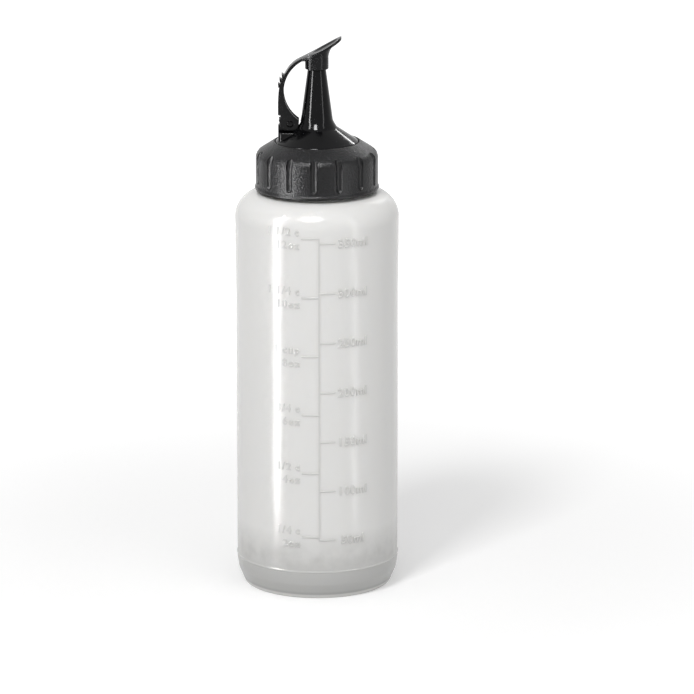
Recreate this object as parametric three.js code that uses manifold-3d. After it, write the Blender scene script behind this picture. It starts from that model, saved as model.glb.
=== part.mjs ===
// Squeeze bottle with a screw-on nozzle cap and a flip-up lever closure.
// Millimetres, +Z up. The origin is at the centre of the base, on the surface that it stands on.
// The lever lies in the XZ plane: its hinge is on the -X side and its thumb plate points to +X.
import * as THREE from 'three';
import { mergeVertices } from 'three/addons/utils/BufferGeometryUtils.js';
import Module from 'manifold-3d';

const wasm = await Module();
wasm.setup();

// Fits shared by all pieces
const SEAT_GAP = 0.3; // left between two pieces that rest on each other
const RUN_GAP = 0.3; // left between two pieces that turn on each other
const ROUND_STEPS = 48; // flats round each turned piece
const SINK = 0.3; // how far a rib or pin is sunk into the wall that carries it

// Bottle body
const BODY_RADIUS = 30.1;
const BODY_WALL = 1.0;
const BODY_TOP = 149.3; // height of the shoulder's top
const SHOULDER_SWELL = 0.25; // how far the shoulder stands out past the body
const SHOULDER_ROUND = 9.5;
const SWELL_START = 112; // height where the body starts to swell
const BASE_RING_RADIUS = 27.2; // radius that the bottle stands on
const BASE_RING_WIDTH = 2.6;
const BASE_ROUND = 1.2;
const BASE_TAPER_HEIGHT = 8.5; // the base widens to the body up to this height
const BASE_THICKNESS = 2.2;
const PUSH_UP = 2.4; // height of the hollow under the base
const PINCH_HEIGHT = 10.9; // fine raised line round the foot
const PINCH_RISE = 0.25;
const PINCH_WIDTH = 1.0;

// Graduations, raised on the body
const SCALE_ANGLE = -88.4; // direction of the scale from +X, in degrees
const SCALE_RISE = 0.35;
const SCALE_LINE_WIDTH = 0.5;
const FIRST_MARK_HEIGHT = 23.3; // height of the 50 ml mark
const FIRST_MARK_ML = 50;
const ML_STEP = 50;
const ML_MARKS = 7;
const ML_MARK_LENGTH = 6.1;
const OUNCE_ML = 29.57;
const OUNCE_STEP = 2;
const OUNCE_MARKS = 6;
const OUNCE_MARK_LENGTH = 6.5;
const FIRST_OUNCE_HEIGHT = 24.5; // the lowest ounce mark, near the hollow of the base
const MM3_PER_ML = 1000;

// Neck and screw thread
const NECK_RADIUS = 19.0;
const NECK_WALL = 1.5;
const NECK_HEIGHT = 11.7;
const NECK_FILLET = 1.0;
const RIM_ROUND = 0.4;
const THREAD_PITCH = 4.2;
const THREAD_DEPTH = 1.3;
const THREAD_ROOT_WIDTH = 2.0;
const THREAD_CREST_WIDTH = 0.9;
const THREAD_CREST_GAP = 0.45; // between the collar thread's crest and the neck
const THREAD_START = 3.7; // height of the thread's first turn above the shoulder
const NECK_THREAD_TURNS = 1.35;
const THREAD_RUN_OUT = 0.06; // turns over which each end of a thread fades
const THREAD_STEPS = 28; // steps in a turn

// Sealing ring
const SEAL_THICKNESS = 1.0;
const SEAL_WIDTH = 2.2;

// Collar
const COLLAR_WALL = 1.75;
const COLLAR_FLARE = 0.35; // how far the bottom rim stands out
const COLLAR_FLARE_HEIGHT = 1.3;
const COLLAR_LIFT = 1.1; // gap between the shoulder and the collar's bottom
const COLLAR_ROOT_GAP = 0.55; // between the neck thread's crest and the collar's inner wall
const COLLAR_SHOULDER_START = 11.5; // height above the collar's bottom where it starts to round
const COLLAR_HOLE_RADIUS = 15.6;
const COLLAR_HEIGHT = 17.8;
const COLLAR_KNEE = 3.4; // rounding between the side and the cone
const COLLAR_THREAD_TURNS = 1.2;
const COLLAR_THREAD_LEAD = 0.14; // turns between the neck thread's start and the collar thread's
const GROOVES = 15;
const GROOVE_WIDTH = 2.5;
const GROOVE_DEPTH = 0.75;
const GROOVE_BOTTOM = 2.4; // above the collar's bottom
const GROOVE_BEND = 10.4; // above it the groove leans in over the shoulder
const GROOVE_LEAN_RISE = 3.9;
const GROOVE_LEAN_REACH = 1.2;
const GROOVE_START = -92.4; // direction of the first groove from +X, in degrees

// Nozzle
const FLANGE_THICKNESS = 1.0;
const FLANGE_RADIUS = 18.8;
const SLEEVE_WALL = 1.4;
const SNAP_RISE = 0.6; // bead that holds the nozzle in the collar
const SNAP_HEIGHT = 1.0;
const SNAP_LIFT = 1.5; // height of the bead above the flange
const SKIRT_BOTTOM = 168.1; // height of the skirt's outer edge
const SKIRT_SLOPE = 0.68;
const SKIRT_WALL = 2.4;
const SKIRT_TOP_RADIUS = 7.5;
const CONE_FOOT_RADIUS = 5.85;
const CONE_FOOT = 175.2;
const CONE_TOP_RADIUS = 3.36;
const CONE_TOP = 195.0;
const CONE_WALL = 1.15;
const TIP_TOP = 196.2;
const TIP_RADIUS = 1.7; // flat end of the tip
const ORIFICE_RADIUS = 1.0;
const ORIFICE_LENGTH = 1.8;

// Hinge
const PIVOT_X = -9.9;
const PIVOT_Z = 174.9;
const PIN_RADIUS = 1.0;
const POST_WIDTH = 2.6;
const POST_HEAD_RADIUS = 2.4;
const FIN_X = -14.25; // outer face of the post's back fin and of the pedestal
const FIN_THICKNESS = 1.1;
const FIN_TOP = 174.5;
const PEDESTAL_WIDTH = 10.0;
const PEDESTAL_TOP = 171.9;
const PEDESTAL_CORNER = 1.5;
const PEDESTAL_FRONT_X = -7.6;

// Lever
const LEVER_WIDTH = 5.4;
const CHEEK_REACH = 3.7; // farthest edge of the cheeks from the pivot, apart from the heel tooth
const TOOTH_REACH = 4.45; // heel tooth's tip from the pivot
const TOOTH_ANGLE = 159.5; // its direction from +X, in degrees
const CHEEK_BOTTOM = 2.6; // flat under the cheeks, below the pivot
const FORK_RADIUS = 6.8; // depth of the slot between the cheeks, from the pivot
const ARM_BACK_X = -14.3;
const ARM_BACK_BOTTOM = 178.2;
const ARM_BACK_TOP = 183.0;
const ARM_WEB = 1.3;
const CHANNEL_TOP = 188.2; // the arm is a channel between here and the fork
const ARM_INNER_RADIUS = 13.0;
const ARM_INNER_X = 0.85;
const ARM_INNER_Z = 187.0;
const BARB_WIDTH = 4.0;
const BARB_LENGTH = 1.5;
const PLATE_TIP_X = 9.1;
const PLATE_TIP_Z = 207.2;
const PLATE_HEEL_X = -5.3;
const PLATE_HEEL_Z = 199.4;
const PLATE_SAG = 0.5; // how far the plate's top dips below a straight line from heel to tip
const PLATE_WIDTH = 10.0;
const PLATE_THICKNESS = 1.1;
const CUP_RADIUS = 4.35;
const CUP_BOTTOM = 195.2;
const CUP_MOUTH_RADIUS = 3.85;
const CUP_DEPTH = 2.6;
const CUP_TOP = 199.6; // above it the cup flares into the plate
const PLUG_RADIUS = 1.6;
const PLUG_GAP = 0.3; // between the plug and the tip

// Sizes that follow from the ones above
const neckRim = BODY_TOP + NECK_HEIGHT;
const neckBore = NECK_RADIUS - NECK_WALL;
const sealBottom = neckRim + SEAT_GAP;
const flangeBottom = sealBottom + SEAL_THICKNESS + SEAT_GAP;
const flangeTop = flangeBottom + FLANGE_THICKNESS;
const collarBottom = BODY_TOP + COLLAR_LIFT;
const collarRoot = NECK_RADIUS + THREAD_DEPTH + COLLAR_ROOT_GAP;
const collarRadius = collarRoot + COLLAR_WALL;
const sleeveRadius = COLLAR_HOLE_RADIUS - RUN_GAP;
const sleeveBore = sleeveRadius - SLEEVE_WALL;
const postSide = POST_WIDTH / 2;
const cheekInside = postSide + RUN_GAP;
const leverSide = LEVER_WIDTH / 2;

const turns = (count) => count * 2 * Math.PI;
const radians = THREE.MathUtils.degToRad;

// A closed geometry as a solid that can be joined and cut
function solid(geometry) {
  const bare = geometry.index ? geometry.toNonIndexed() : geometry.clone();
  bare.deleteAttribute('normal');
  bare.deleteAttribute('uv');
  const merged = mergeVertices(bare, 1e-4);
  return new wasm.Manifold(new wasm.Mesh({
    numProp: 3,
    vertProperties: merged.attributes.position.array,
    triVerts: new Uint32Array(merged.index.array),
  }));
}

// A named piece from its solid
function piece(name, body, material) {
  const data = body.getMesh();
  const geometry = new THREE.BufferGeometry();
  geometry.setAttribute('position', new THREE.BufferAttribute(new Float32Array(data.vertProperties), 3));
  geometry.setIndex(new THREE.BufferAttribute(new Uint32Array(data.triVerts), 1));
  geometry.computeVertexNormals();
  const mesh = new THREE.Mesh(geometry, material);
  mesh.name = name;
  return mesh;
}

// A profile of [radius, height] points turned about the Z axis
function revolve(profile, steps = ROUND_STEPS) {
  const points = profile.map(([radius, height]) => new THREE.Vector2(radius, height));
  const geometry = new THREE.LatheGeometry(points, steps);
  geometry.rotateX(Math.PI / 2);
  return solid(geometry);
}

// Points of an arc in a profile, from one angle to another in degrees
function arc(centreX, centreY, radius, from, to, steps) {
  const points = [];
  for (let i = 0; i <= steps; i += 1) {
    const angle = radians(from + ((to - from) * i) / steps);
    points.push([centreX + radius * Math.cos(angle), centreY + radius * Math.sin(angle)]);
  }
  return points;
}

// A round pin along Z between two heights
function upright(radius, bottom, top, steps = 32) {
  const geometry = new THREE.CylinderGeometry(radius, radius, top - bottom, steps);
  geometry.rotateX(Math.PI / 2);
  geometry.translate(0, 0, (bottom + top) / 2);
  return solid(geometry);
}

// A round pin along Y, centred on the XZ plane
function crossPin(x, z, radius, width, steps = 32) {
  const geometry = new THREE.CylinderGeometry(radius, radius, width, steps);
  geometry.translate(x, 0, z);
  return solid(geometry);
}

// An outline in x and z, as thick as the width and centred on the XZ plane
function sidePlate(shape, width, curveSegments = 3) {
  const geometry = new THREE.ExtrudeGeometry(shape, { depth: width, bevelEnabled: false, curveSegments });
  geometry.rotateX(Math.PI / 2);
  geometry.translate(0, width / 2, 0);
  return solid(geometry);
}

// An outline in x and y, raised from one height to another
function risenPlan(shape, bottom, top, curveSegments = 6) {
  const depth = top - bottom;
  const geometry = new THREE.ExtrudeGeometry(shape, { depth, bevelEnabled: false, curveSegments });
  geometry.translate(0, 0, bottom);
  return solid(geometry);
}

function block(xMin, xMax, yMin, yMax, zMin, zMax) {
  const geometry = new THREE.BoxGeometry(xMax - xMin, yMax - yMin, zMax - zMin);
  geometry.translate((xMin + xMax) / 2, (yMin + yMax) / 2, (zMin + zMax) / 2);
  return solid(geometry);
}

function polygon(points) {
  return new THREE.Shape(points.map(([x, y]) => new THREE.Vector2(x, y)));
}

// A straight rib of the given section (radius, height) wrapped round the Z axis.
// It climbs by the rise on the way, and fades to nothing over the run-out at each end.
function wrappedRib({ section, footRadius, from, to, rise = 0, steps, runOut = 0 }) {
  const options = { depth: 1, steps, bevelEnabled: false };
  const geometry = new THREE.ExtrudeGeometry(polygon(section), options);
  const position = geometry.attributes.position;
  for (let i = 0; i < position.count; i += 1) {
    const share = 1 - position.getZ(i);
    const angle = from + (to - from) * share;
    const toEnd = Math.min(share, 1 - share) * Math.abs(to - from);
    const fade = runOut > 0 ? Math.min(1, toEnd / runOut) : 1;
    const radius = footRadius + (position.getX(i) - footRadius) * fade;
    const height = position.getY(i) + rise * share;
    position.setXYZ(i, radius * Math.cos(angle), radius * Math.sin(angle), height);
  }
  return solid(geometry);
}

// Height of the contents' level above the base for a volume in millilitres
function levelHeight(millilitres) {
  const area = Math.PI * (BODY_RADIUS - BODY_WALL) ** 2;
  return FIRST_MARK_HEIGHT + ((millilitres - FIRST_MARK_ML) * MM3_PER_ML) / area;
}

// The blow-moulded bottle: one closed wall from the base hollow to the rim and back inside
function bottleShell() {
  const shoulderRadius = BODY_RADIUS + SHOULDER_SWELL;
  const shoulderStart = BODY_TOP - SHOULDER_ROUND;
  const archX = shoulderRadius - SHOULDER_ROUND;
  const insideRadius = BODY_RADIUS - BODY_WALL;
  const insideRound = SHOULDER_ROUND - BODY_WALL;
  const floor = BASE_THICKNESS;
  const ringInside = BASE_RING_RADIUS - BASE_RING_WIDTH;
  const outside = [
    [0, PUSH_UP],
    [ringInside * 0.55, PUSH_UP * 0.86],
    [ringInside * 0.86, PUSH_UP * 0.42],
    [ringInside, 0],
    [BASE_RING_RADIUS, 0],
    ...arc(BASE_RING_RADIUS, BASE_ROUND, BASE_ROUND, -60, -5, 3),
    [BODY_RADIUS - 0.45, BASE_TAPER_HEIGHT * 0.68],
    [BODY_RADIUS, BASE_TAPER_HEIGHT],
    [BODY_RADIUS, PINCH_HEIGHT - PINCH_WIDTH / 2],
    [BODY_RADIUS + PINCH_RISE, PINCH_HEIGHT],
    [BODY_RADIUS, PINCH_HEIGHT + PINCH_WIDTH / 2],
    [BODY_RADIUS, SWELL_START],
    [BODY_RADIUS + SHOULDER_SWELL * 0.6, (SWELL_START + shoulderStart) / 2],
    ...arc(archX, shoulderStart, SHOULDER_ROUND, 0, 90, 9),
    [NECK_RADIUS + NECK_FILLET, BODY_TOP],
    [NECK_RADIUS, BODY_TOP + NECK_FILLET],
    [NECK_RADIUS, neckRim - RIM_ROUND],
    [NECK_RADIUS - RIM_ROUND, neckRim],
  ];
  const inside = [
    [neckBore + RIM_ROUND, neckRim],
    [neckBore, neckRim - RIM_ROUND],
    [neckBore, BODY_TOP],
    [neckBore + NECK_FILLET, BODY_TOP - BODY_WALL],
    ...arc(archX, shoulderStart, insideRound, 90, 0, 7),
    [insideRadius, SWELL_START],
    [insideRadius, BASE_TAPER_HEIGHT],
    [insideRadius - 0.7, floor + 3.2],
    [insideRadius - 2.4, floor + 1.2],
    [BASE_RING_RADIUS - BASE_RING_WIDTH, floor + 0.4],
    [ringInside * 0.7, PUSH_UP + BASE_THICKNESS * 0.72],
    [0, PUSH_UP + BASE_THICKNESS],
  ];
  return revolve([...outside, ...inside]);
}

// One raised mark that follows the body from the scale line towards +X or away from it
function scaleMark(height, length, side) {
  const half = SCALE_LINE_WIDTH / 2;
  const inner = BODY_RADIUS - SINK;
  const outer = BODY_RADIUS + SCALE_RISE;
  const start = radians(SCALE_ANGLE);
  const end = start + (side * length) / BODY_RADIUS;
  return wrappedRib({
    section: [[inner, height - half], [outer, height - half], [outer, height + half], [inner, height + half]],
    footRadius: inner,
    from: Math.min(start, end),
    to: Math.max(start, end),
    steps: 3,
  });
}

function scaleMarks() {
  const marks = [];
  for (let i = 0; i < ML_MARKS; i += 1) {
    marks.push(scaleMark(levelHeight(FIRST_MARK_ML + i * ML_STEP), ML_MARK_LENGTH, 1));
  }
  marks.push(scaleMark(FIRST_OUNCE_HEIGHT, OUNCE_MARK_LENGTH, -1));
  for (let i = 2; i <= OUNCE_MARKS; i += 1) {
    marks.push(scaleMark(levelHeight(i * OUNCE_STEP * OUNCE_ML), OUNCE_MARK_LENGTH, -1));
  }
  const top = levelHeight(OUNCE_MARKS * OUNCE_STEP * OUNCE_ML);
  const half = SCALE_LINE_WIDTH / 2;
  const inner = BODY_RADIUS - SINK;
  const outer = BODY_RADIUS + SCALE_RISE;
  const spread = half / BODY_RADIUS;
  marks.push(wrappedRib({
    section: [
      [inner, FIRST_MARK_HEIGHT - half],
      [outer, FIRST_MARK_HEIGHT - half],
      [outer, top + half],
      [inner, top + half],
    ],
    footRadius: inner,
    from: radians(SCALE_ANGLE) - spread,
    to: radians(SCALE_ANGLE) + spread,
    steps: 1,
  }));
  return marks;
}

// Height of the thread's middle at a number of turns from its start
function threadHeight(turnsFromStart) {
  return BODY_TOP + THREAD_START + THREAD_PITCH * turnsFromStart;
}

// The screw thread on the outside of the neck
function neckThread() {
  const root = NECK_RADIUS - SINK;
  const crest = NECK_RADIUS + THREAD_DEPTH;
  const middle = threadHeight(0);
  return wrappedRib({
    section: [
      [root, middle - THREAD_ROOT_WIDTH / 2],
      [crest, middle - THREAD_CREST_WIDTH / 2],
      [crest, middle + THREAD_CREST_WIDTH / 2],
      [root, middle + THREAD_ROOT_WIDTH / 2],
    ],
    footRadius: root,
    from: 0,
    to: turns(NECK_THREAD_TURNS),
    rise: THREAD_PITCH * NECK_THREAD_TURNS,
    steps: Math.round(THREAD_STEPS * NECK_THREAD_TURNS),
    runOut: turns(THREAD_RUN_OUT),
  });
}

// The matching thread inside the collar, which bears on the neck thread from below
function collarThread() {
  const root = collarRoot + SINK;
  const crest = NECK_RADIUS + THREAD_CREST_GAP;
  const flankShare = THREAD_CREST_GAP / THREAD_DEPTH;
  const neckHalf = (THREAD_ROOT_WIDTH - (THREAD_ROOT_WIDTH - THREAD_CREST_WIDTH) * flankShare) / 2;
  const below = neckHalf + THREAD_CREST_WIDTH / 2 + RUN_GAP;
  const middle = threadHeight(COLLAR_THREAD_LEAD) - below;
  return wrappedRib({
    section: [
      [crest, middle - THREAD_CREST_WIDTH / 2],
      [root, middle - THREAD_ROOT_WIDTH / 2],
      [root, middle + THREAD_ROOT_WIDTH / 2],
      [crest, middle + THREAD_CREST_WIDTH / 2],
    ],
    footRadius: root,
    from: turns(COLLAR_THREAD_LEAD),
    to: turns(COLLAR_THREAD_LEAD + COLLAR_THREAD_TURNS),
    rise: THREAD_PITCH * COLLAR_THREAD_TURNS,
    steps: Math.round(THREAD_STEPS * COLLAR_THREAD_TURNS),
    runOut: turns(THREAD_RUN_OUT),
  });
}

function bottle() {
  return wasm.Manifold.union([bottleShell(), neckThread(), ...scaleMarks()]);
}

// Flat silicone ring on the rim of the neck, under the nozzle's flange
function sealingRing() {
  const outer = NECK_RADIUS - RIM_ROUND;
  return revolve([
    [outer - SEAL_WIDTH, sealBottom],
    [outer, sealBottom],
    [outer, sealBottom + SEAL_THICKNESS],
    [outer - SEAL_WIDTH, sealBottom + SEAL_THICKNESS],
    [outer - SEAL_WIDTH, sealBottom],
  ]);
}

// The collar: a ring with a conical top, an inner web over the flange and a snap groove in its hole
function collarShell() {
  const top = collarBottom + COLLAR_HEIGHT;
  const shoulder = collarBottom + COLLAR_SHOULDER_START;
  const webBottom = flangeTop + SEAT_GAP;
  const webRound = 1.9;
  const grooveBottom = flangeTop + SNAP_LIFT - RUN_GAP;
  const grooveTop = grooveBottom + SNAP_HEIGHT + 2 * RUN_GAP;
  const grooveRadius = sleeveRadius + SNAP_RISE + RUN_GAP;
  const profile = [
    [collarRoot + 0.5, collarBottom],
    [collarRadius + COLLAR_FLARE * 0.6, collarBottom],
    [collarRadius + COLLAR_FLARE, collarBottom + COLLAR_FLARE_HEIGHT * 0.3],
    [collarRadius + COLLAR_FLARE, collarBottom + COLLAR_FLARE_HEIGHT * 0.7],
    [collarRadius, collarBottom + COLLAR_FLARE_HEIGHT],
    [collarRadius, shoulder],
    ...arc(collarRadius - COLLAR_KNEE, shoulder, COLLAR_KNEE, 12, 56, 4),
    [COLLAR_HOLE_RADIUS + 0.4, top],
    [COLLAR_HOLE_RADIUS, top - 0.3],
    [COLLAR_HOLE_RADIUS, grooveTop],
    [grooveRadius, grooveTop],
    [grooveRadius, grooveBottom],
    [COLLAR_HOLE_RADIUS, grooveBottom],
    [COLLAR_HOLE_RADIUS, webBottom],
    [collarRoot - webRound, webBottom],
    [collarRoot, webBottom - webRound],
    [collarRoot, collarBottom + 0.5],
    [collarRoot + 0.5, collarBottom],
  ];
  return revolve(profile);
}

// A round-ended cutter between two points of the XZ plane
function capsuleCutter([fromX, fromZ], [toX, toZ], radius) {
  const length = Math.hypot(toX - fromX, toZ - fromZ);
  const geometry = new THREE.CapsuleGeometry(radius, length, 2, 10);
  geometry.rotateX(Math.PI / 2);
  geometry.rotateY(Math.atan2(toX - fromX, toZ - fromZ));
  geometry.translate((fromX + toX) / 2, 0, (fromZ + toZ) / 2);
  return geometry;
}

// The round-ended grip grooves round the collar, each upright and then leaning in over the shoulder
function grooveCutters() {
  const half = GROOVE_WIDTH / 2;
  const radius = (half * half + GROOVE_DEPTH * GROOVE_DEPTH) / (2 * GROOVE_DEPTH);
  const face = collarRadius + radius - GROOVE_DEPTH;
  const foot = [face, collarBottom + GROOVE_BOTTOM + half];
  const bend = [face, collarBottom + GROOVE_BEND];
  const top = [face - GROOVE_LEAN_REACH, collarBottom + GROOVE_BEND + GROOVE_LEAN_RISE];
  const cutters = [];
  for (let i = 0; i < GROOVES; i += 1) {
    for (const [from, to] of [[foot, bend], [bend, top]]) {
      const geometry = capsuleCutter(from, to, radius);
      geometry.rotateZ(radians(GROOVE_START) + turns(i / GROOVES));
      cutters.push(solid(geometry));
    }
  }
  return cutters;
}

function collar() {
  const ring = collarShell().subtract(wasm.Manifold.union(grooveCutters()));
  return ring.add(collarThread());
}

// The nozzle's turned body: flange, sleeve with its snap bead, skirt, cone and tip
function nozzleShell() {
  const snapBottom = flangeTop + SNAP_LIFT;
  const snapTop = snapBottom + SNAP_HEIGHT;
  const skirtTop = SKIRT_BOTTOM + (sleeveRadius - SKIRT_TOP_RADIUS) * SKIRT_SLOPE;
  const coneSlope = (CONE_FOOT_RADIUS - CONE_TOP_RADIUS) / (CONE_TOP - CONE_FOOT);
  const boreTop = TIP_TOP - ORIFICE_LENGTH;
  const innerFoot = SKIRT_BOTTOM - SKIRT_WALL;
  const outside = [
    [FLANGE_RADIUS, flangeBottom],
    [FLANGE_RADIUS, flangeTop],
    [sleeveRadius, flangeTop],
    [sleeveRadius, snapBottom],
    [sleeveRadius + SNAP_RISE, snapBottom + 0.3],
    [sleeveRadius + SNAP_RISE, snapTop - 0.3],
    [sleeveRadius, snapTop],
    [sleeveRadius, SKIRT_BOTTOM],
    [sleeveRadius - 0.35, SKIRT_BOTTOM + 0.35],
    [SKIRT_TOP_RADIUS + 0.7, skirtTop - 0.35],
    [SKIRT_TOP_RADIUS, skirtTop + 0.2],
    [CONE_FOOT_RADIUS + 0.65, CONE_FOOT - 0.95],
    [CONE_FOOT_RADIUS + 0.2, CONE_FOOT],
    [CONE_FOOT_RADIUS - coneSlope * 2, CONE_FOOT + 2],
    [CONE_TOP_RADIUS, CONE_TOP],
    [CONE_TOP_RADIUS - 0.45, CONE_TOP + 0.55],
    [TIP_RADIUS + 0.5, TIP_TOP - 0.2],
    [TIP_RADIUS, TIP_TOP],
  ];
  const inside = [
    [ORIFICE_RADIUS, TIP_TOP],
    [ORIFICE_RADIUS, boreTop],
    [CONE_TOP_RADIUS - CONE_WALL, boreTop - 1.2],
    [CONE_FOOT_RADIUS - CONE_WALL - coneSlope * 2, CONE_FOOT],
    [SKIRT_TOP_RADIUS - CONE_WALL, skirtTop - SKIRT_WALL],
    [sleeveBore, innerFoot + 0.2],
    [sleeveBore, flangeBottom],
    [FLANGE_RADIUS, flangeBottom],
  ];
  return revolve([...outside, ...inside]);
}

// The plate between the lever's cheeks, with its round head and the fin behind it
function hingePost() {
  const finInner = FIN_X + FIN_THICKNESS;
  const root = SKIRT_BOTTOM - SKIRT_WALL * 0.4;
  const skirtAtHead = SKIRT_BOTTOM + (sleeveRadius + PIVOT_X + POST_HEAD_RADIUS) * SKIRT_SLOPE;
  const shape = polygon([
    [FIN_X, root],
    [PIVOT_X + POST_HEAD_RADIUS, skirtAtHead - SKIRT_WALL * 0.5],
    ...arc(PIVOT_X, PIVOT_Z, POST_HEAD_RADIUS, 0, 160, 8),
    [finInner + 0.3, FIN_TOP - 0.1],
    [finInner, FIN_TOP],
    [FIN_X + 0.3, FIN_TOP],
    [FIN_X, FIN_TOP - 0.3],
  ]);
  return sidePlate(shape, POST_WIDTH);
}

// The low block that the hinge stands on, with rounded corners at the back
function pedestal() {
  const half = PEDESTAL_WIDTH / 2;
  const cornerX = FIN_X + PEDESTAL_CORNER;
  const cornerY = half - PEDESTAL_CORNER;
  const plan = new THREE.Shape();
  plan.moveTo(PEDESTAL_FRONT_X, -half);
  plan.lineTo(PEDESTAL_FRONT_X, half);
  plan.lineTo(cornerX, half);
  plan.absarc(cornerX, cornerY, PEDESTAL_CORNER, Math.PI / 2, Math.PI, false);
  plan.absarc(cornerX, -cornerY, PEDESTAL_CORNER, Math.PI, 1.5 * Math.PI, false);
  return risenPlan(plan, SKIRT_BOTTOM - SKIRT_WALL * 0.3, PEDESTAL_TOP, 5);
}

// Everything below the skirt's outer face
function underSkirt() {
  const radius = sleeveRadius + 1;
  const edge = SKIRT_BOTTOM - SKIRT_SLOPE;
  return revolve([[0, 0], [radius, 0], [radius, edge], [0, edge + radius * SKIRT_SLOPE]]);
}

// Room in the pedestal and skirt for the cheeks and the heel tooth as they swing
function hingePocket() {
  const width = LEVER_WIDTH + 2 * RUN_GAP;
  const cheekRoom = crossPin(PIVOT_X, PIVOT_Z, CHEEK_REACH + RUN_GAP, width, 40);
  const toothRoom = crossPin(PIVOT_X, PIVOT_Z, TOOTH_REACH + RUN_GAP, width, 40);
  const behind = block(FIN_X - 5, PIVOT_X + RUN_GAP, -width, width, PIVOT_Z - 10, PIVOT_Z + 10);
  return cheekRoom.add(toothRoom.intersect(behind));
}

function nozzle() {
  const side = leverSide + RUN_GAP;
  const trough = block(FIN_X - 2, PIVOT_X, -side, side, SKIRT_BOTTOM - SKIRT_WALL, PEDESTAL_TOP + 1);
  const base = pedestal().subtract(trough.subtract(underSkirt()));
  const cavityEdge = SKIRT_BOTTOM - SKIRT_WALL + 0.2;
  const cavity = revolve([
    [0, flangeBottom - 1],
    [sleeveBore, flangeBottom - 1],
    [sleeveBore, cavityEdge],
    [0, cavityEdge + sleeveBore * SKIRT_SLOPE * 0.8],
  ]);
  const pins = crossPin(PIVOT_X, PIVOT_Z, PIN_RADIUS, LEVER_WIDTH - 0.3, 24);
  const built = nozzleShell().add(base).subtract(hingePocket());
  return built.add(hingePost().subtract(cavity)).add(pins);
}

// Height of the thumb plate's top along the lever
function plateTop(x) {
  const share = (x - PLATE_HEEL_X) / (PLATE_TIP_X - PLATE_HEEL_X);
  return PLATE_HEEL_Z + (PLATE_TIP_Z - PLATE_HEEL_Z) * share - PLATE_SAG * 4 * share * (1 - share);
}

// Side outline of the arm and its cheeks
function armOutline() {
  const tooth = radians(TOOTH_ANGLE);
  const toothX = PIVOT_X + TOOTH_REACH * Math.cos(tooth);
  const toothZ = PIVOT_Z + TOOTH_REACH * Math.sin(tooth);
  const shape = new THREE.Shape();
  shape.moveTo(ARM_BACK_X, ARM_BACK_BOTTOM + 0.3);
  shape.lineTo(ARM_BACK_X, ARM_BACK_TOP);
  shape.splineThru([
    [ARM_BACK_X + 0.2, ARM_BACK_TOP + 3.3],
    [ARM_BACK_X + 0.55, ARM_BACK_TOP + 5.6],
    [ARM_BACK_X + 1.4, ARM_BACK_TOP + 8.3],
    [ARM_BACK_X + 3.3, ARM_BACK_TOP + 11.7],
    [ARM_BACK_X + 4.8, ARM_BACK_TOP + 13.6],
    [ARM_BACK_X + 6.65, ARM_BACK_TOP + 15.15],
    [PLATE_HEEL_X, PLATE_HEEL_Z],
  ].map(([x, z]) => new THREE.Vector2(x, z)));
  shape.lineTo(-2.5, plateTop(-2.5));
  shape.lineTo(-2.5, CUP_TOP - 1.2);
  for (const [x, z] of arc(ARM_INNER_X, ARM_INNER_Z, ARM_INNER_RADIUS, 119, 235.5, 22)) {
    shape.lineTo(x, z);
  }
  const bottom = PIVOT_Z - CHEEK_BOTTOM;
  for (const [x, z] of [
    [PIVOT_X + 3.4, PIVOT_Z + 1.0],
    [PIVOT_X + 3.2, PIVOT_Z - 0.3],
    [PIVOT_X + 2.8, PIVOT_Z - 1.7],
    [PIVOT_X + 2.2, bottom + 0.2],
    [PIVOT_X + 1.6, bottom],
    [PIVOT_X - 2.1, bottom],
    [PIVOT_X - 2.7, bottom + 0.3],
    [PIVOT_X - 3.05, bottom + 0.65],
    [PIVOT_X - 3.5, PIVOT_Z - 0.9],
    [PIVOT_X - 3.7, PIVOT_Z + 0.1],
    [toothX, toothZ],
    [toothX + 0.7, toothZ + 0.35],
    [toothX + 0.75, ARM_BACK_BOTTOM - 0.2],
    [ARM_BACK_X + 0.15, ARM_BACK_BOTTOM],
  ]) {
    shape.lineTo(x, z);
  }
  return shape;
}

// One grip barb on the arm's back, given its tip
function barb([x, z]) {
  const shape = polygon([
    [x, z],
    [x + 0.15, z - BARB_LENGTH],
    [x + 1.6, z - BARB_LENGTH],
    [x + 1.8, z - 0.5],
    [x + 0.8, z - 0.6],
  ]);
  return sidePlate(shape, BARB_WIDTH);
}

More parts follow.
